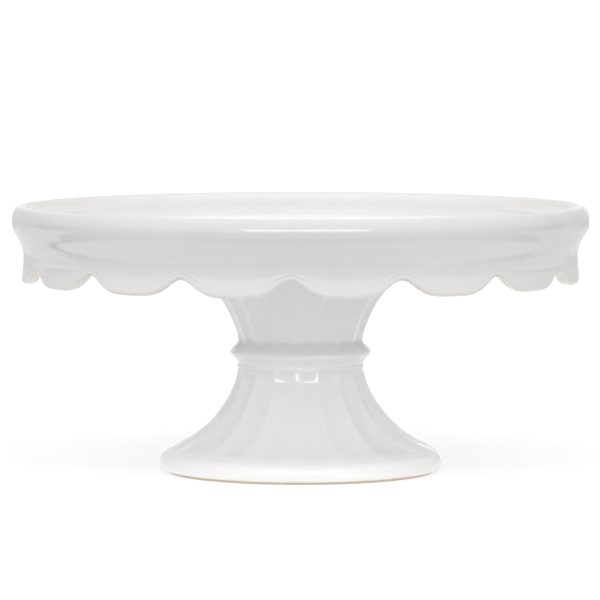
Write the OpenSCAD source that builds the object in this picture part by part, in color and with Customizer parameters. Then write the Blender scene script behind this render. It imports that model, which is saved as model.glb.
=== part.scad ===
// Pedestal cake stand in glazed stoneware: a plate with a scalloped skirt, luted to a fluted,
// hollow pedestal that is made in two halves with a collar over the join.
// Units are millimetres, +Z is up, and the origin is the middle of the base at the table.

/* [Plate] */
// Widest diameter of the rim
plate_d = 306; // [300:1:312]
// Overall height of the stand
stand_h = 141.5; // [139:0.5:144]
// Depth of the well below the top of the rim
well_depth = 6.5; // [5:0.5:8]
// Thickness of the plate under the well
plate_t = 6.5; // [5:0.5:7]
// Half the thickness of the rolled rim
rim_roll_r = 4.3; // [4:0.1:4.6]

/* [Skirt] */
// Number of scallops round the skirt
scallops = 16; // [12:2:24]
// Thickness of the skirt's wall
skirt_t = 6; // [5:0.5:7]
// Height of the skirt's top edge, where it is luted to the plate
skirt_top = 119.5; // [118:0.5:121]
// Height of the lowest point of each scallop
scallop_low = 101.5; // [99:0.5:104]
// Rise from a scallop's lowest point to the notch beside it
scallop_rise = 9.5; // [7:0.5:11]

/* [Pedestal] */
// Number of flutes round the pedestal
flutes = 18; // [14:1:24]
// Turn of the pedestal from the plate's notches, as it was set down by hand
pedestal_turn = -2.3; // [-10:0.1:10]
// Thickness of the pedestal's wall
wall_t = 6; // [5.5:0.5:7]
// Radius of the waist, above and below the collar
waist_r = 33.3; // [32:0.1:35]
// Radius of the collar's crest
collar_r = 37.4; // [36:0.1:39]
// Greatest diameter of the foot
foot_d = 150.6; // [146:0.2:156]

/* [Hidden] */
$fn = 96;

lute_t = 0.5;      // thickness of each slip joint

plate_r = plate_d / 2;
floor_z = stand_h - well_depth;
plate_under = floor_z - plate_t;
roll_c = [plate_r - rim_roll_r, stand_h - rim_roll_r];

skirt_r = plate_r - 6;              // outside of the skirt below the rim
skirt_in = skirt_r - skirt_t;
skirt_top_r = skirt_r + (plate_r - skirt_r) * smooth((skirt_top - 116.5) / 17.5);
scallop_step = 360 / scallops;
notch_points = 9;                   // steps along each side of a notch

// The pedestal's outline is two arcs, one below the collar and one above it.
foot_top = 55.5;                    // where the foot's flutes meet the collar
stem_low = 70.9;                    // where the stem's flutes meet the collar
waist_z = 63.2;                     // the join between the two halves
waist_seat = 30.5;                  // the collar's inner radius
waist_bore = 25.5;
foot_arc = [90.5, 67.4, 58.4];      // radius and height of the arc's centre, and its radius
stem_arc = [94.6, 56.4, 63.0];
stem_top = plate_under - lute_t;
foot_r = foot_d / 2;
foot_edge = [70.9, 12.3];           // where the flare turns over into the foot's rounded edge
ring_in = 61.5;
ring_out = 70.5;
flute_r = 16;
stem_cone_z = stem_arc[1] + stem_arc[2] * sin(45);
stem_cone_r = stem_arc[0] - stem_arc[2] * cos(45);
stem_top_r = stem_cone_r + stem_top - stem_cone_z;
locator_r = stem_top_r - wall_t / sin(45) - 0.5;

function smooth(t) = t * t * (3 - 2 * t);
// Radius of a concave arc at height z
function arc_r(arc, z, extra = 0) = arc[0] - sqrt(pow(arc[2] + extra, 2) - pow(z - arc[1], 2));
function arc_outline(arc, z0, z1, extra = 0, steps = 16) =
    [for (i = [0:steps]) let (z = z0 + (z1 - z0) * i / steps) [arc_r(arc, z, extra), z]];
function round_outline(c, r, a0, a1, steps = 12) =
    [for (i = [0:steps]) let (a = a0 + (a1 - a0) * i / steps) [c[0] + r * cos(a), c[1] + r * sin(a)]];
// Direction of flute i, which has a ridge beside it at -Y before the pedestal's turn
function flute_angle(i) = -90 + pedestal_turn + (i + 0.5) * 360 / flutes;
// Height of the skirt's lower edge, where u is 0 under a scallop's middle and 1 at a notch
function scallop_z(u) = scallop_low + scallop_rise * pow(sin(90 * u * u), 2);

module turned(outline) {
    rotate_extrude(angle = 360) polygon(outline);
}

// Plate with its well, rolled rim and hanging lip, and a ring below that locates the stem
module plate() {
    lip_low = skirt_top + lute_t;
    lip_steps = 12;
    color("whitesmoke") turned(concat(
        [[0, plate_under], [locator_r - 6, plate_under], [locator_r - 5.5, plate_under - 2.5],
         [locator_r - 0.5, plate_under - 2.5], [locator_r, plate_under], [skirt_in - 3, plate_under],
         [skirt_in, plate_under - 3], [skirt_in, lip_low]],
        [for (i = [0:lip_steps]) let (z = lip_low + (roll_c[1] - 2.5 - lip_low) * i / lip_steps)
            [skirt_r + (plate_r - skirt_r) * smooth(min(1, max(0, (z - 116.5) / 17.5))), z]],
        round_outline(roll_c, rim_roll_r, 0, 180, 20),
        [[roll_c[0] - rim_roll_r - 0.8, floor_z + 1.2], [roll_c[0] - rim_roll_r - 2.2, floor_z + 0.35],
         [roll_c[0] - rim_roll_r - 5, floor_z], [0, floor_z]]));
}

// One notch between two scallops, as a prism that points outwards along -Y
module notch() {
    reach = skirt_r + 10;
    side = [for (i = [0:notch_points]) let (u = 0.28 + 0.72 * i / notch_points)
            [skirt_r * tan(scallop_step / 2 * (1 - u)), scallop_z(u) - 0.8 * (1 - u)]];
    outline = concat([[-side[0][0], scallop_low - 5]], [for (p = side) [-p[0], p[1]]],
                     [for (i = [notch_points - 1:-1:0]) side[i]], [[side[0][0], scallop_low - 5]]);
    rotate([90, 0, 0]) translate([0, 0, reach - 40]) linear_extrude(height = 40) polygon(outline);
}

// Skirt that hangs below the rim, cut into scallops
module scalloped_skirt() {
    color("white") difference() {
        rotate([0, 0, scallop_step / 2]) turned([[skirt_in, skirt_top], [skirt_in, 106], [skirt_in + 0.6, scallop_low + 1.4],
                [skirt_in + 2, scallop_low], [skirt_r - 0.8, scallop_low], [skirt_r + 0.8, scallop_low + 1.6],
                [skirt_r + 0.5, 106], [skirt_r, 112.5], [skirt_r, 116.5],
                [skirt_top_r, skirt_top]]);
        for (i = [0:scallops - 1]) rotate([0, 0, i * scallop_step]) notch();
    }
}

// Thin ring of slip that joins two pieces
module lute_ring(r_in, r_out, z) {
    color("linen") translate([0, 0, z]) difference() {
        cylinder(r = r_out, h = lute_t);
        translate([0, 0, -1]) cylinder(r = r_in, h = lute_t + 2);
    }
}

// One flute that follows an arc of the pedestal, from one angle on the arc to another
module flute(arc, from_a, to_a, sink, lean) {
    translate([lean, 0, 0]) translate([arc[0], 0, arc[1]]) rotate([90, 0, 0])
        rotate_extrude(angle = to_a - from_a, start = from_a)
            translate([arc[2] - flute_r + sink, 0]) circle(r = flute_r);
}

// Lower half of the pedestal: a hollow bell with a rounded edge and a flat ring to stand on
module foot() {
    color("white") difference() {
        turned(concat(
            [[waist_bore, waist_z - lute_t / 2], [waist_seat, waist_z - lute_t / 2], [waist_seat, foot_top]],
            arc_outline(foot_arc, foot_top, foot_edge[1]),
            [[73.3, 10.6], [74.7, 8.6], [foot_r, 6.2], [foot_r - 0.2, 4.2], [73.9, 2.2], [ring_out, 0],
             [ring_in, 0], [ring_in - 1.5, 2.5]],
            arc_outline(foot_arc, 10, foot_top - 2, wall_t),
            [[waist_bore, waist_z - 6]]));
        for (i = [0:flutes - 1]) rotate([0, 0, flute_angle(i)])
            flute(foot_arc, 192, 246, 0.4, -1.2);
    }
}

// Upper half of the pedestal, which opens out to meet the plate
module stem() {
    color("white") difference() {
        turned(concat(
            [[waist_bore, waist_z + lute_t / 2], [waist_bore, waist_z + 5]],
            arc_outline(stem_arc, stem_low + 2, stem_cone_z + wall_t * sin(45) - 0.5, wall_t),
            [[stem_top_r - wall_t / sin(45), stem_top], [stem_top_r, stem_top], [stem_cone_r, stem_cone_z]],
            arc_outline(stem_arc, stem_cone_z - 2, stem_low),
            [[waist_seat, stem_low], [waist_seat, waist_z + lute_t / 2]]));
        for (i = [0:flutes - 1]) rotate([0, 0, flute_angle(i)])
            flute(stem_arc, 135, 166, 0.6, -0.6);
    }
}

// Collar that covers the join at the waist
module collar() {
    crest_z = 64.4;
    color("ivory") turned(concat(
        [[waist_seat, foot_top], [waist_r - 0.1, foot_top], [waist_r - 0.2, 58.2], [waist_r + 1.1, 60.4],
         [waist_r + 2.7, 62.2], [collar_r - 0.5, 63.5], [collar_r, crest_z], [collar_r - 0.5, 65.6],
         [waist_r + 2.2, 67.2], [waist_r + 0.6, 69.2], [arc_r(stem_arc, stem_low), stem_low],
         [waist_seat, stem_low]]));
}

plate();
scalloped_skirt();
lute_ring(skirt_in, skirt_top_r, skirt_top);  // skirt_lute
lute_ring(stem_top_r - wall_t, stem_top_r, stem_top);  // plate_lute
stem();
collar();
lute_ring(waist_bore, waist_seat, waist_z - lute_t / 2);  // waist_lute
foot();
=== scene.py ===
import math

import bmesh
import bpy
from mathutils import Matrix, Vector


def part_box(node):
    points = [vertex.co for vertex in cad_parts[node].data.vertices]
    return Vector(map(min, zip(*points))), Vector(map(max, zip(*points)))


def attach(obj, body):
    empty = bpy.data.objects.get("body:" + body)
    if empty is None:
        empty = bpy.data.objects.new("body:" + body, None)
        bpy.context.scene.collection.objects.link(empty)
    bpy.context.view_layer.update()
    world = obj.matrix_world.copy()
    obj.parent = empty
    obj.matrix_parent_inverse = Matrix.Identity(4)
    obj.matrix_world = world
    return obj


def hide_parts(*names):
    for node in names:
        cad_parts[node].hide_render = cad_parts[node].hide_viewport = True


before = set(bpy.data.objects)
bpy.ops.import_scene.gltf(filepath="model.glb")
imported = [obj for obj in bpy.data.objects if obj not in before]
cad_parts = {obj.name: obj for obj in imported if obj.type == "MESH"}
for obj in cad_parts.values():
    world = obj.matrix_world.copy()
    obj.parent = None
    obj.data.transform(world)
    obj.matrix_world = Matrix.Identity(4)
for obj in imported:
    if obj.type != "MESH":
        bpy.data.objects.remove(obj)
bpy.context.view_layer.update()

# Glazed stoneware cake stand: plate, scalloped skirt and fluted pedestal, stuck together with slip.
# Outlines are (radius, height) in millimetres. The outer sizes come from the frame.
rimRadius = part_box("plate")[1][0] * 1000
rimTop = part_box("plate")[1][2] * 1000
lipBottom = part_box("plate")[0][2] * 1000
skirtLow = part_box("scalloped_skirt")[0][2] * 1000
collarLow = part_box("collar")[0][2] * 1000
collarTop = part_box("collar")[1][2] * 1000
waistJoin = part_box("foot")[1][2] * 1000
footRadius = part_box("foot")[1][0] * 1000
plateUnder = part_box("plate_lute")[1][2] * 1000


def smooth(t):
    t = min(1, max(0, t))
    return t * t * (3 - 2 * t)


def curveThrough(points, spacing):
    # a soft curve through a few outline points; a point given twice is a corner
    path = []
    for i in range(len(points) - 1):
        a, b = Vector(points[i]), Vector(points[i + 1])
        if (b - a).length < 1e-6:
            continue
        before = Vector(points[i - 1]) if i > 0 else a
        after = Vector(points[i + 2]) if i + 2 < len(points) else b
        chord = (b - a).length
        # beside a much shorter stretch the curve stays close, so that it can't swing past its points
        tangentA = slopeAt(before, a, b) * min(chord, 2.5 * (a - before).length or chord)
        tangentB = slopeAt(a, b, after) * min(chord, 2.5 * (after - b).length or chord)
        steps = max(1, round(chord / spacing))
        for k in range(steps):
            t = k / steps
            h1, h2 = 2 * t**3 - 3 * t**2 + 1, t**3 - 2 * t**2 + t
            h3, h4 = -2 * t**3 + 3 * t**2, t**3 - t**2
            path.append(a * h1 + tangentA * h2 + b * h3 + tangentB * h4)
    path.append(Vector(points[-1]))
    return path


def slopeAt(before, here, after):
    back, ahead = (here - before), (after - here)
    if back.length < 1e-6:
        return ahead.normalized() if ahead.length else ahead
    if ahead.length < 1e-6:
        return back.normalized()
    blend = back.normalized() * ahead.length + ahead.normalized() * back.length
    return blend / (back.length + ahead.length)


def crisp(line, closed):
    # puts a point close on each side of every sharp corner, so that smooth shading stays tight there
    points, count = [], len(line)
    for i, (here, lean) in enumerate(line):
        back, ahead = line[i - 1][0] - here, line[(i + 1) % count][0] - here
        inside = closed or 0 < i < count - 1
        if not inside or min(back.length, ahead.length) < 0.12 or back.angle(-ahead) < math.radians(35):
            points.append((here, lean))
            continue
        points += [(here + back.normalized() * 0.04, lean), (here, lean), (here + ahead.normalized() * 0.04, lean)]
    return points


def withLean(outline):
    # each point with its direction into the clay
    around = sum(a.x * b.y - b.x * a.y for a, b in zip(outline, outline[1:] + outline[:1]))
    line = []
    for i, here in enumerate(outline):
        before, after = here - outline[max(i - 1, 0)], outline[min(i + 1, len(outline) - 1)] - here
        sharp = 0 < before.length and 0 < after.length and before.angle(after) > math.radians(35)
        run = (before if sharp else before + after).normalized()
        line.append((here, Vector((-run.y, run.x)) * math.copysign(1, around)))
    return line


def turned(name, outline, repeats, steps, start=0, shape=None):
    # spins an outline of (radius, height) through one repeat, lets shape() carve it, then copies it round
    outline = [Vector(p) for p in outline]
    closed = outline[0].x > 0
    line = crisp(withLean(outline), closed)
    bm = bmesh.new()
    thin = bm.verts.layers.float.new("glazeThin")
    along = bm.verts.layers.float.new("along")
    lean = bm.verts.layers.float_vector.new("lean")
    first = math.radians(start)
    verts, travelled, last = [], 0, line[0][0]
    for here, direction in line:
        vert = bm.verts.new((here.x * math.sin(first), -here.x * math.cos(first), here.y))
        travelled += (here - last).length
        last = here
        vert[along] = travelled
        vert[lean] = (direction.x, direction.y, 0)
        verts.append(vert)
    edges = [bm.edges.new(pair) for pair in zip(verts, verts[1:])]
    if closed:
        edges.append(bm.edges.new((verts[-1], verts[0])))
    bmesh.ops.spin(bm, geom=verts + edges, axis=(0, 0, 1), cent=(0, 0, 0),
                   angle=2 * math.pi / repeats, steps=steps)
    for v in bm.verts:
        radius = math.hypot(v.co.x, v.co.y)
        if shape and radius > 0:
            angle = math.degrees(math.atan2(v.co.x, -v.co.y))    # 0 is the front, at -Y
            inward, lift, v[thin] = shape(radius, v.co.z, angle, v[along])
            newRadius = radius + v[lean].x * inward
            v.co = Vector((v.co.x * newRadius / radius, v.co.y * newRadius / radius,
                           v.co.z + v[lean].y * inward + lift))
    wedge = bm.verts[:] + bm.edges[:] + bm.faces[:]
    bmesh.ops.spin(bm, geom=wedge, axis=(0, 0, 1), cent=(0, 0, 0), use_duplicate=True,
                   angle=2 * math.pi * (repeats - 1) / repeats, steps=repeats - 1)
    bmesh.ops.remove_doubles(bm, verts=bm.verts[:], dist=0.001)
    bmesh.ops.recalc_face_normals(bm, faces=bm.faces[:])
    bmesh.ops.scale(bm, vec=(0.001, 0.001, 0.001), verts=bm.verts[:])
    bm.verts.layers.float.remove(bm.verts.layers.float["along"])
    bm.verts.layers.float_vector.remove(bm.verts.layers.float_vector["lean"])
    mesh = bpy.data.meshes.new(name)
    bm.to_mesh(mesh)
    bm.free()
    for face in mesh.polygons:
        face.use_smooth = True
    piece = bpy.data.objects.new(name, mesh)
    bpy.context.collection.objects.link(piece)
    return piece


def linear(hexColour):
    parts = [int(hexColour[i:i + 2], 16) / 255 for i in (1, 3, 5)]
    return [c / 12.92 if c <= 0.04045 else ((c + 0.055) / 1.055) ** 2.4 for c in parts] + [1]


def addNode(tree, kind, settings=None, **links):
    node = tree.nodes.new(kind)
    for key, value in (settings or {}).items():
        if isinstance(key, int) or key in node.inputs.keys():
            node.inputs[key].default_value = value
        else:
            setattr(node, key, value)
    for key, source in links.items():
        tree.links.new(source, node.inputs[key.replace("_", " ")])
    return node


# White tin-opacified stoneware glaze, dipped and fired to a full gloss. It breaks to a warm, thinner
# coat over sharp edges, varies a little in tone, ripples gently, and has a few pinholes.
whiteGlaze = {
    "colour": "#EDECEA", "pooled": "#EBEAE9", "thinCoat": "#D5C5AA", "pinhole": "#8F8574",
    # sizes and depths in mm
    "poolSize": 38, "thinCoatPatches": 7,
    "rippleSize": 40, "rippleDepth": 0.006,
    "orangePeel": 3.5, "orangePeelDepth": 0.001,
    "pinholeSpacing": 26, "pinholeRadius": 0.32, "pinholeDepth": 0.2, "cellsWithoutPinhole": 0.86,
    "roughness": 0.06, "ior": 1.5,
}


def makeWhiteGlaze(look):
    mat = bpy.data.materials.new("whiteStonewareGlaze")
    mat.use_nodes = True
    tree = mat.node_tree
    tree.nodes.clear()
    place = addNode(tree, "ShaderNodeTexCoord").outputs["Object"]
    thin = addNode(tree, "ShaderNodeAttribute", {"attribute_name": "glazeThin"}).outputs["Fac"]

    cloud = addNode(tree, "ShaderNodeTexNoise",
                    {"Scale": 1000 / look["poolSize"], "Detail": 3.0, "Roughness": 0.55}, Vector=place)
    pooling = addNode(tree, "ShaderNodeMapRange", {"From Min": 0.35, "From Max": 0.65}, Value=cloud.outputs["Fac"])
    base = addNode(tree, "ShaderNodeMix", {"data_type": "RGBA"})
    base.inputs[6].default_value = linear(look["colour"])
    base.inputs[7].default_value = linear(look["pooled"])
    tree.links.new(pooling.outputs["Result"], base.inputs[0])

    # the thin coat shows where the edge attribute is high, broken up by a finer noise
    fine = addNode(tree, "ShaderNodeTexNoise", {"Scale": 1000 / look["thinCoatPatches"], "Detail": 4.0}, Vector=place)
    breakUp = addNode(tree, "ShaderNodeMath", {"operation": "MULTIPLY_ADD", 1: 0.9, 2: -0.2})
    tree.links.new(fine.outputs["Fac"], breakUp.inputs[0])
    worn = addNode(tree, "ShaderNodeMath", {"operation": "MULTIPLY", "use_clamp": True})
    tree.links.new(thin, worn.inputs[0])
    tree.links.new(breakUp.outputs[0], worn.inputs[1])
    coat = addNode(tree, "ShaderNodeMix", {"data_type": "RGBA"})
    coat.inputs[7].default_value = linear(look["thinCoat"])
    tree.links.new(worn.outputs[0], coat.inputs[0])
    tree.links.new(base.outputs[2], coat.inputs[6])

    # pinholes: a sparse cell pattern, one dark dimple in a few of its cells
    cells = addNode(tree, "ShaderNodeTexVoronoi", {"Scale": 1000 / look["pinholeSpacing"]}, Vector=place)
    hole = addNode(tree, "ShaderNodeMapRange",
                   {"From Min": look["pinholeRadius"] / look["pinholeSpacing"],
                    "From Max": 2.2 * look["pinholeRadius"] / look["pinholeSpacing"],
                    "To Min": 1.0, "To Max": 0.0}, Value=cells.outputs["Distance"])
    pick = addNode(tree, "ShaderNodeSeparateColor", Color=cells.outputs["Color"])
    chosen = addNode(tree, "ShaderNodeMath", {"operation": "GREATER_THAN", 1: look["cellsWithoutPinhole"]})
    tree.links.new(pick.outputs[0], chosen.inputs[0])
    pin = addNode(tree, "ShaderNodeMath", {"operation": "MULTIPLY"})
    tree.links.new(hole.outputs["Result"], pin.inputs[0])
    tree.links.new(chosen.outputs[0], pin.inputs[1])
    speck = addNode(tree, "ShaderNodeMix", {"data_type": "RGBA"})
    speck.inputs[7].default_value = linear(look["pinhole"])
    tree.links.new(pin.outputs[0], speck.inputs[0])
    tree.links.new(coat.outputs[2], speck.inputs[6])

    ripple = addNode(tree, "ShaderNodeTexNoise", {"Scale": 1000 / look["rippleSize"], "Detail": 1.0}, Vector=place)
    peel = addNode(tree, "ShaderNodeTexNoise", {"Scale": 1000 / look["orangePeel"], "Detail": 1.0}, Vector=place)
    swell = addNode(tree, "ShaderNodeBump", {"Strength": 1.0, "Distance": look["rippleDepth"] / 1000},
                    Height=ripple.outputs["Fac"])
    grain = addNode(tree, "ShaderNodeBump", {"Strength": 1.0, "Distance": look["orangePeelDepth"] / 1000},
                    Height=peel.outputs["Fac"], Normal=swell.outputs["Normal"])
    dent = addNode(tree, "ShaderNodeBump", {"Strength": 1.0, "Distance": look["pinholeDepth"] / 1000, "invert": True},
                   Height=pin.outputs[0], Normal=grain.outputs["Normal"])

    gloss = addNode(tree, "ShaderNodeBsdfPrincipled",
                    {"Roughness": look["roughness"], "IOR": look["ior"], "Metallic": 0.0},
                    Base_Color=speck.outputs[2], Normal=dent.outputs["Normal"])
    addNode(tree, "ShaderNodeOutputMaterial", Surface=gloss.outputs["BSDF"])
    return mat


# Fired clay with no glaze on it: matt, dry and finely pored. The slip is the glue that squeezes out
# between two pieces, and the stoneware is what the foot's ring is wiped back to before the firing.
slipLook = {"light": "#D9D1C2", "dark": "#C9BEAB", "grain": 0.8, "poreDepth": 0.10}        # mm
stonewareLook = {"light": "#DBD0BC", "dark": "#C4B59B", "grain": 1.3, "poreDepth": 0.16}


def makeBareClay(name, look):
    mat = bpy.data.materials.new(name)
    mat.use_nodes = True
    tree = mat.node_tree
    tree.nodes.clear()
    place = addNode(tree, "ShaderNodeTexCoord").outputs["Object"]
    grit = addNode(tree, "ShaderNodeTexNoise", {"Scale": 1000 / look["grain"], "Detail": 4.0}, Vector=place)
    tone = addNode(tree, "ShaderNodeMix", {"data_type": "RGBA"})
    tone.inputs[6].default_value = linear(look["light"])
    tone.inputs[7].default_value = linear(look["dark"])
    tree.links.new(grit.outputs["Fac"], tone.inputs[0])
    pores = addNode(tree, "ShaderNodeBump", {"Strength": 0.6, "Distance": look["poreDepth"] / 1000},
                    Height=grit.outputs["Fac"])
    clay = addNode(tree, "ShaderNodeBsdfPrincipled", {"Roughness": 0.85, "IOR": 1.5},
                   Base_Color=tone.outputs[2], Normal=pores.outputs["Normal"])
    addNode(tree, "ShaderNodeOutputMaterial", Surface=clay.outputs["BSDF"])
    return mat


def dress(piece, material, nodeName):
    piece.data.materials.clear()
    piece.data.materials.append(material)
    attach(piece, "root")
    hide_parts(nodeName)


glaze = makeWhiteGlaze(whiteGlaze)


# The plate: a sunk well inside a rolled rim, with a ring underneath that the stem fits round.
plateLook = {
    "coveFoot": 116.3, "coveHead": 133.0,        # heights between which the outside swells from skirt to rim
    "skirtOutside": 147.0, "skirtInside": 141.0,
    "rimAxisIn": 4.5, "rimAxisUp": 7.0,          # half-width and half-height of the rim's rounded top
    "rimSpacing": 0.45, "rimTurn": 6.0, "rimTurns": 25,      # mm and degrees between the outline's points
    "wellFloor": 6.5, "floorRadius": 138.0,      # the first is how far the floor lies below the rim's top
    "underside": 13.0, "locatorRadius": 68.0,
    "repeats": 16, "steps": 24,
}


def outsideRadius(z):
    look = plateLook
    rise = smooth((z - look["coveFoot"]) / (look["coveHead"] - look["coveFoot"]))
    return look["skirtOutside"] + (rimRadius - look["skirtOutside"]) * rise


def makePlate(look):
    floor = rimTop - look["wellFloor"]
    under = rimTop - look["underside"]
    centre = (rimRadius - look["rimAxisIn"], rimTop - look["rimAxisUp"])
    ring, inside = look["locatorRadius"], look["skirtInside"]
    line = [(0, under), (0, under), (ring - 6, under), (ring - 6, under), (ring - 5.2, under - 2.2),
            (ring - 0.8, under - 2.2), (ring, under), (ring, under), (inside - 8, under), (inside - 8, under),
            (inside - 3, under - 0.8), (inside - 0.6, under - 3.5), (inside, lipBottom), (inside, lipBottom)]
    outline = curveThrough(line, 1.2)
    outline += [Vector((outsideRadius(lipBottom), lipBottom))]
    spacing = look["rimSpacing"]
    heights = [lipBottom + 0.3 + i * spacing for i in range(int((centre[1] - lipBottom) / spacing))]
    outline += [Vector((outsideRadius(z), z)) for z in heights]
    for i in range(look["rimTurns"]):
        turn = math.radians(i * look["rimTurn"])
        outline.append(Vector((centre[0] + look["rimAxisIn"] * math.cos(turn),
                               centre[1] + look["rimAxisUp"] * math.sin(turn))))
    last, edge = outline[-1], look["floorRadius"]
    well = [outline[-2], last, (last.x - 1.8, floor + 2.5), (edge + 0.4, floor + 0.95), (edge - 3.0, floor + 0.1),
            (edge - 8.0, floor), (edge - 16, floor), (60, floor), (0, floor), (0, floor)]
    outline += curveThrough(well, 0.9)[2:]
    piece = turned("plate_body", outline, look["repeats"], look["steps"])
    dress(piece, glaze, "plate")


makePlate(plateLook)
print("plate made")


# The skirt: a band with scallops along its lower edge, where the glaze runs thin.
skirtLook = {
    "scallops": 16, "rise": 8.8,            # mm from a scallop's lowest point up to the notch
    "flare": 0.9, "flareTop": 111.0, "flareRun": 7.0,       # starts at flareTop, full flareRun mm below it
    "top": 119.5, "thinCoat": 1.6,          # the glaze is thin up to here above the edge
    "outerFace": (145.0, 1.5),              # only the band outside this radius flares
    "steps": 30,
}


def scallopRise(angle):
    half = 180 / skirtLook["scallops"]
    across = abs((angle % (2 * half)) - half) / half     # 0 under a scallop's middle, 1 at a notch
    return skirtLook["rise"] * math.sin(math.radians(90 * across * across)) ** 2


def shapeSkirt(radius, z, angle, along):
    look = skirtLook
    fall = 1 - smooth((z - skirtLow - 1.5) / (look["top"] - skirtLow - 4.5))
    thin = 1 - smooth((z - skirtLow) / look["thinCoat"])
    rise = scallopRise(angle)
    faceStart, faceRun = look["outerFace"]
    flared = smooth((look["flareTop"] - z) / look["flareRun"]) * smooth((radius - faceStart) / faceRun)
    return look["flare"] * rise / look["rise"] * flared, rise * fall, thin


def makeSkirt(look):
    low, inside, top = skirtLow + 0.1, plateLook["skirtInside"], look["top"]
    outside = plateLook["skirtOutside"]
    line = [(outsideRadius(z), z) for z in (top, 118.2, 117.0)]
    line += [(outside, 115.0), (outside, 111.0), (outside + 0.4, 107.5), (outside + look["flare"], low + 1.1),
             (outside + 0.75, low + 0.35), (outside, low), (144.0, low), (142.4, low + 0.5), (141.3, low + 2.0),
             (inside, low + 4.5), (inside, 112.0), (inside, top)]
    outline = curveThrough(line, 0.55)
    piece = turned("skirt_body", outline, look["scallops"], look["steps"], shape=shapeSkirt)
    dress(piece, glaze, "scalloped_skirt")


def makeSkirtJoint(look):
    # the joint is glazed over, flush with the plate above and the skirt below
    low, inside = look["top"], plateLook["skirtInside"]
    outline = [(inside, low), (outsideRadius(low), low), (outsideRadius(lipBottom), lipBottom), (inside, lipBottom)]
    piece = turned("skirt_joint", outline, look["scallops"], look["steps"])
    dress(piece, glaze, "skirt_lute")


makeSkirt(skirtLook)
makeSkirtJoint(skirtLook)
print("scalloped skirt made")


# The pedestal: stem and foot, pressed with the same flutes. The ridge lines run from the waist outwards.
pedestalLook = {
    "flutes": 18, "turn": -2.3,             # the ridge beside the front sits this far round, in degrees
    "ridgeWidth": 0.62,                     # smaller makes a narrower ridge
    "stemDepth": 1.5, "footDepth": 1.7,
    # share of the depth to begin with, and the mm over which it grows to the whole
    "stemGrow": (0.75, 25), "footGrow": (0.7, 40), "underCollarGrow": (0.3, 6), "endGrow": (0.2, 26),
    "endRun": 9.0, "endSoft": 3.0,          # how far the flutes' round ends reach up, and how softly they stop
    "wall": 6.0, "bore": 25.5, "seat": 30.2,
    "bareBelow": 1.15,                      # the foot's ring is wiped clean of glaze up to here
    "steps": 24,
}
stemRidge = [(33.2, 69.4), (33.35, 71.2), (33.7, 73.1), (36.0, 79.5), (40.0, 88.0), (46.3, 97.0),
             (54.5, 107.0), (65.0, 118.0), (77.0, plateUnder - 0.5)]
footRidge = [(33.2, 55.9), (33.3, 55.0), (34.5, 49.7), (38.0, 41.1), (43.6, 32.5), (51.6, 23.8),
             (61.0, 17.0), (70.4, 12.4), (73.2, 10.3)]


def pathLength(path):
    return sum((b - a).length for a, b in zip(path, path[1:]))


stemPath = curveThrough(stemRidge, 0.6)
footPath = curveThrough(footRidge, 0.6)
stemRun, footRun = pathLength(stemPath), pathLength(footPath)


def acrossFlute(angle):
    pitch = 360 / pedestalLook["flutes"]
    return ((angle - pedestalLook["turn"]) % pitch) / pitch * 2 - 1      # -1 and 1 on the ridges


def growing(distance, start):
    share, run = start
    return share + (1 - share) * smooth(distance / run)


def scoop(angle):
    # the hollow across a flute: 0 on the ridges, 1 in the middle
    return (0.5 + 0.5 * math.cos(math.pi * acrossFlute(angle))) ** pedestalLook["ridgeWidth"]


def shapeStem(radius, z, angle, along):
    if along > stemRun:
        return 0, 0, 0
    return pedestalLook["stemDepth"] * growing(along, pedestalLook["stemGrow"]) * scoop(angle), 0, 0


def shapeFoot(radius, z, angle, along):
    look = pedestalLook
    if along > footRun + 4:
        # past the flutes only the glaze changes: it thins down the last bit of the outer edge
        return 0, 0, 0.6 * (1 - smooth((z - 1.0) / 1.6)) * smooth((radius - 69.5) / 2)
    end = footRun - look["endRun"] * (1 - math.sqrt(max(0, 1 - acrossFlute(angle) ** 2)))
    inside = smooth((end - along) / look["endSoft"])
    depth = look["footDepth"] * growing(along, look["footGrow"]) * growing(end - along, look["endGrow"])
    return depth * growing(along, look["underCollarGrow"]) * scoop(angle) * inside, 0, 0


def makeStem(look):
    low = waistJoin + 0.5
    inner = [Vector((p.x - look["wall"] * 1.05, p.y)) for p in curveThrough(stemRidge[1:], 3.0)]
    outline = stemPath + inner[::-1]
    outline += [Vector((look["bore"], low + 5)), Vector((look["bore"], low)), Vector((look["seat"], low)),
                Vector((look["seat"], stemRidge[0][1] - 1)), Vector((stemRidge[0][0] - 2, stemRidge[0][1]))]
    piece = turned("stem_body", outline, look["flutes"], look["steps"], look["turn"], shapeStem)
    dress(piece, glaze, "stem")


def makeFoot(look):
    edge = [footRidge[-1], (74.3, 8.6), (74.8, 7.1), (footRadius - 0.1, 4.6), (footRadius - 0.4, 3.0),
            (73.8, 1.8), (72.2, 1.3), (70.8, 1.2), (70.4, 0.7), (70.1, 0), (70.1, 0)]
    ringInside = [(62.0, 0), (62.0, 0), (60.8, 0.5), (60.0, 2.5), (60.5, 6.5)]
    hollow = [(58.5, 12.0), (52.0, 18.0), (43.5, 27.0), (36.5, 37.0), (30.5, 46.0), (27.0, 52.0),
              (look["bore"], 57.0), (look["bore"], waistJoin)]
    outline = footPath[:-1] + curveThrough(edge + ringInside + hollow, 0.8)
    outline += [Vector((look["seat"], waistJoin)), Vector((look["seat"], collarLow + 0.4))]
    piece = turned("foot_body", outline, look["flutes"], look["steps"], look["turn"], shapeFoot)
    dress(piece, glaze, "foot")
    piece.data.materials.append(makeBareClay("bareStoneware", stonewareLook))
    for face in piece.data.polygons:
        face.material_index = int(face.center.z < look["bareBelow"] / 1000)


makeStem(pedestalLook)
print("stem made")
makeFoot(pedestalLook)
print("foot made")


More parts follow.
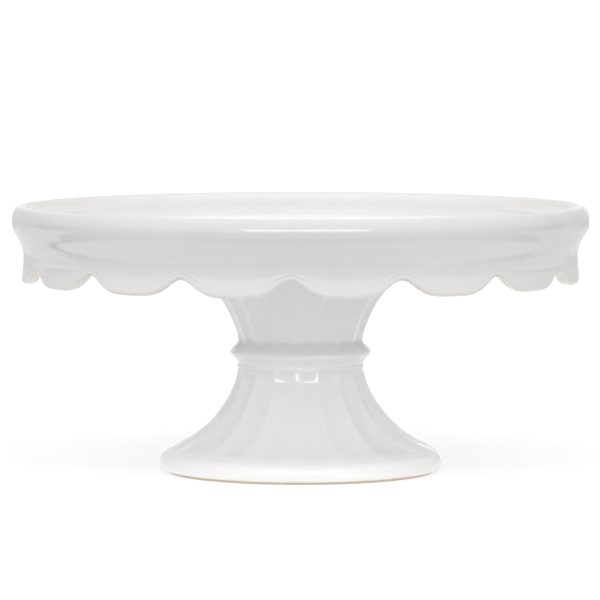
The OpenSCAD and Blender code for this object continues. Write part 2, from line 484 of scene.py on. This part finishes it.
# The collar: a rolled coil pressed on over the waist, so that its edges follow the flutes in small arcs.
collarLook = {
    "inside": 30.5, "steps": 24,
    "upperEdge": (67.5, 3.2), "upperArc": 1.2, "upperLift": 0.9,
    "lowerEdge": (58.0, 2.4), "lowerArc": 0.25,      # an edge is where its arcs begin, and over how many mm
}


def shapeCollar(radius, z, angle, along):
    look = collarLook
    if radius < look["inside"] + 1:
        return 0, 0, 0
    upper = smooth((z - look["upperEdge"][0]) / look["upperEdge"][1])
    lower = smooth((look["lowerEdge"][0] - z) / look["lowerEdge"][1])
    arc = scoop(angle)
    return arc * (look["upperArc"] * upper + look["lowerArc"] * lower), look["upperLift"] * (arc - 0.6) * upper, 0


def makeCollar(look):
    top = collarTop - 0.4
    inside = look["inside"]
    line = [(33.25, top), (33.45, 69.6), (33.95, 68.4), (35.3, 66.9), (36.75, 65.2), (37.35, 63.9), (37.2, 62.8),
            (36.2, 61.6), (34.6, 60.2), (33.8, 58.9), (33.45, 57.6), (33.75, 56.4), (33.6, collarLow),
            (33.6, collarLow), (inside, collarLow), (inside, collarLow), (inside, top), (inside, top)]
    outline = curveThrough(line, 0.4)
    piece = turned("collar_body", outline, pedestalLook["flutes"], look["steps"], pedestalLook["turn"], shapeCollar)
    dress(piece, glaze, "collar")


makeCollar(collarLook)
print("collar made")


# The slip joints at the waist and under the plate keep their own shapes.
slip = makeBareClay("firedCastingSlip", slipLook)
for nodeName in ("plate_lute", "waist_lute"):
    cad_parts[nodeName].data.materials.clear()
    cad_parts[nodeName].data.materials.append(slip)
print("slip joints dressed")


# The studio. Lengths are in metres from here on.
studio = {
    "cameraReach": 2.489, "cameraHeight": 0.266, "cameraTurn": 2.0, "lens": 282,
    "aimHeight": 0.091, "aimLeft": 0.0004,
    "floorColour": "#DCDCDC", "floorGlow": 0.42,
    "sky": 2.0,                              # the tones below are (sine of the height, share of this)
    "frontSky": [(0.0, 0.47), (0.15, 0.66), (0.35, 0.93), (0.65, 0.80), (1.0, 0.62)],
    "backSky": [(0.0, 0.15), (0.15, 0.22), (0.35, 0.22), (0.65, 0.15), (1.0, 0.12)],
    "reach": 40, "white": "#FFFFFF", "black": "#050505",
    "tableGlow": 0.22, "surroundGlow": 0.05,
    "tableHalfWidth": 0.31, "tableFront": 0.28, "tableBack": 4, "tableGap": 0.014,
    "backdropHalfWidth": 1.7, "backdropHeight": 1.6, "backdropAway": 1.15, "sweepFront": 0.05,
    # a softbox's strength is its radiance, in W per square metre and steradian
    "softboxPlace": (0.15, -2.0, 0.70), "softboxAim": (0, 0, 0.08), "softboxSize": (1.8, 0.3),
    "softboxRadiance": 5.5,
}


def mattPaper(name, colour, glow):
    mat = bpy.data.materials.new(name)
    mat.use_nodes = True
    shader = mat.node_tree.nodes["Principled BSDF"].inputs
    shader["Base Color"].default_value = linear(colour)
    shader["Roughness"].default_value = 0.9
    shader["Specular IOR Level"].default_value = 0
    shader["Emission Color"].default_value = (1, 1, 1, 1)
    shader["Emission Strength"].default_value = glow
    return mat


def addSheet(name, corners, height, material):
    bm = bmesh.new()
    bmesh.ops.create_grid(bm, x_segments=1, y_segments=1, size=0.5)
    low, high = corners
    bmesh.ops.scale(bm, vec=(high[0] - low[0], high[1] - low[1], 1), verts=bm.verts[:])
    bmesh.ops.translate(bm, vec=((low[0] + high[0]) / 2, (low[1] + high[1]) / 2, height), verts=bm.verts[:])
    mesh = bpy.data.meshes.new(name)
    bm.to_mesh(mesh)
    bm.free()
    sheet = bpy.data.objects.new(name, mesh)
    bpy.context.collection.objects.link(sheet)
    mesh.materials.append(material)
    return sheet


def addSoftbox(name, place, target, size, radiance):
    light = bpy.data.lights.new(name, "AREA")
    light.shape = "RECTANGLE"
    light.size, light.size_y = size
    light.energy = radiance * math.pi * size[0] * size[1]
    lamp = bpy.data.objects.new(name, light)
    lamp.location = place
    lamp.rotation_euler = (Vector(target) - Vector(place)).to_track_quat("-Z", "Y").to_euler()
    lamp.visible_diffuse = False
    bpy.context.collection.objects.link(lamp)


def skyRamp(tree, height, tones):
    ramp = addNode(tree, "ShaderNodeValToRGB", Fac=height)
    stops = ramp.color_ramp.elements
    while len(stops) < len(tones):
        stops.new(0.5)
    for stop, (place, tone) in zip(stops, tones):
        stop.position = place
        stop.color = (tone, tone, tone, 1)
    return ramp.outputs["Color"]


def makeSky(look):
    world = bpy.data.worlds.new("studio")
    world.use_nodes = True
    tree = world.node_tree
    direction = addNode(tree, "ShaderNodeTexCoord").outputs["Generated"]
    split = addNode(tree, "ShaderNodeSeparateXYZ", Vector=direction)
    backward = addNode(tree, "ShaderNodeMapRange", {"From Min": -1.0, "From Max": 1.0}, Value=split.outputs["Y"])
    sky = addNode(tree, "ShaderNodeMix", {"data_type": "RGBA"})
    tree.links.new(backward.outputs["Result"], sky.inputs[0])
    tree.links.new(skyRamp(tree, split.outputs["Z"], look["frontSky"]), sky.inputs[6])
    tree.links.new(skyRamp(tree, split.outputs["Z"], look["backSky"]), sky.inputs[7])
    background = tree.nodes["Background"]
    background.inputs["Strength"].default_value = look["sky"]
    tree.links.new(sky.outputs[2], background.inputs["Color"])
    bpy.context.scene.world = world


def makeSheets(look):
    everywhere = ((-look["reach"], -look["reach"]), (look["reach"], look["reach"]))
    floor = addSheet("studioFloor", everywhere, 0, mattPaper("paleFloor", look["floorColour"], look["floorGlow"]))
    floor.visible_diffuse = False
    floor.visible_glossy = False
    floor.visible_shadow = False
    # what the glaze mirrors in place of the floor: a small white table with grey all round it
    wide, away = look["tableHalfWidth"], look["backdropAway"]
    table = addSheet("whiteTable", ((-wide, -look["tableFront"]), (wide, look["tableBack"])), -0.001,
                     mattPaper("tablePaper", look["white"], look["tableGlow"]))
    grey = addSheet("greySurround", everywhere, -0.002, mattPaper("greyCard", look["black"], look["surroundGlow"]))
    # a white backdrop behind and the paper that runs forward from its foot, which only the glaze mirrors
    half = look["backdropHalfWidth"]
    backdropPaper = mattPaper("backdropPaper", look["white"], 0)
    backdrop = addSheet("whiteBackdrop", ((-half, 0), (half, look["backdropHeight"])), 0, backdropPaper)
    backdrop.rotation_euler = (math.radians(90), 0, 0)
    backdrop.location = (0, away, 0)
    sweep = addSheet("backdropFoot", ((-half, look["sweepFront"]), (half, away)), -0.0015, backdropPaper)
    # the table's dark side, seen as a line at the left of the mirrored table
    gap = addSheet("tableSide", ((-wide - look["tableGap"], look["sweepFront"] - 0.1), (-wide, away)), -0.0012,
                   mattPaper("blackFelt", look["black"], 0))
    for sheet in (table, grey, sweep, gap, backdrop):
        sheet.visible_camera = False
    for sheet in (sweep, gap, backdrop):
        sheet.visible_diffuse = False
        sheet.visible_shadow = False


def makeCamera(look):
    turn = math.radians(look["cameraTurn"])
    side = Vector((math.cos(turn), math.sin(turn), 0))
    reach = look["cameraReach"]
    eye = Vector((reach * math.sin(turn), -reach * math.cos(turn), look["cameraHeight"]))
    aim = Vector((0, 0, look["aimHeight"])) - side * look["aimLeft"]
    data = bpy.data.cameras.new("camera")
    data.lens, data.sensor_width = look["lens"], 36
    camera = bpy.data.objects.new("camera", data)
    camera.location = eye - side * look["aimLeft"]
    camera.rotation_euler = (aim - camera.location).to_track_quat("-Z", "Y").to_euler()
    bpy.context.collection.objects.link(camera)
    bpy.context.scene.camera = camera


makeSheets(studio)
makeCamera(studio)
makeSky(studio)
addSoftbox("softFront", studio["softboxPlace"], studio["softboxAim"], studio["softboxSize"], studio["softboxRadiance"])
bpy.context.scene.view_settings.view_transform = "Standard"
print("studio made")
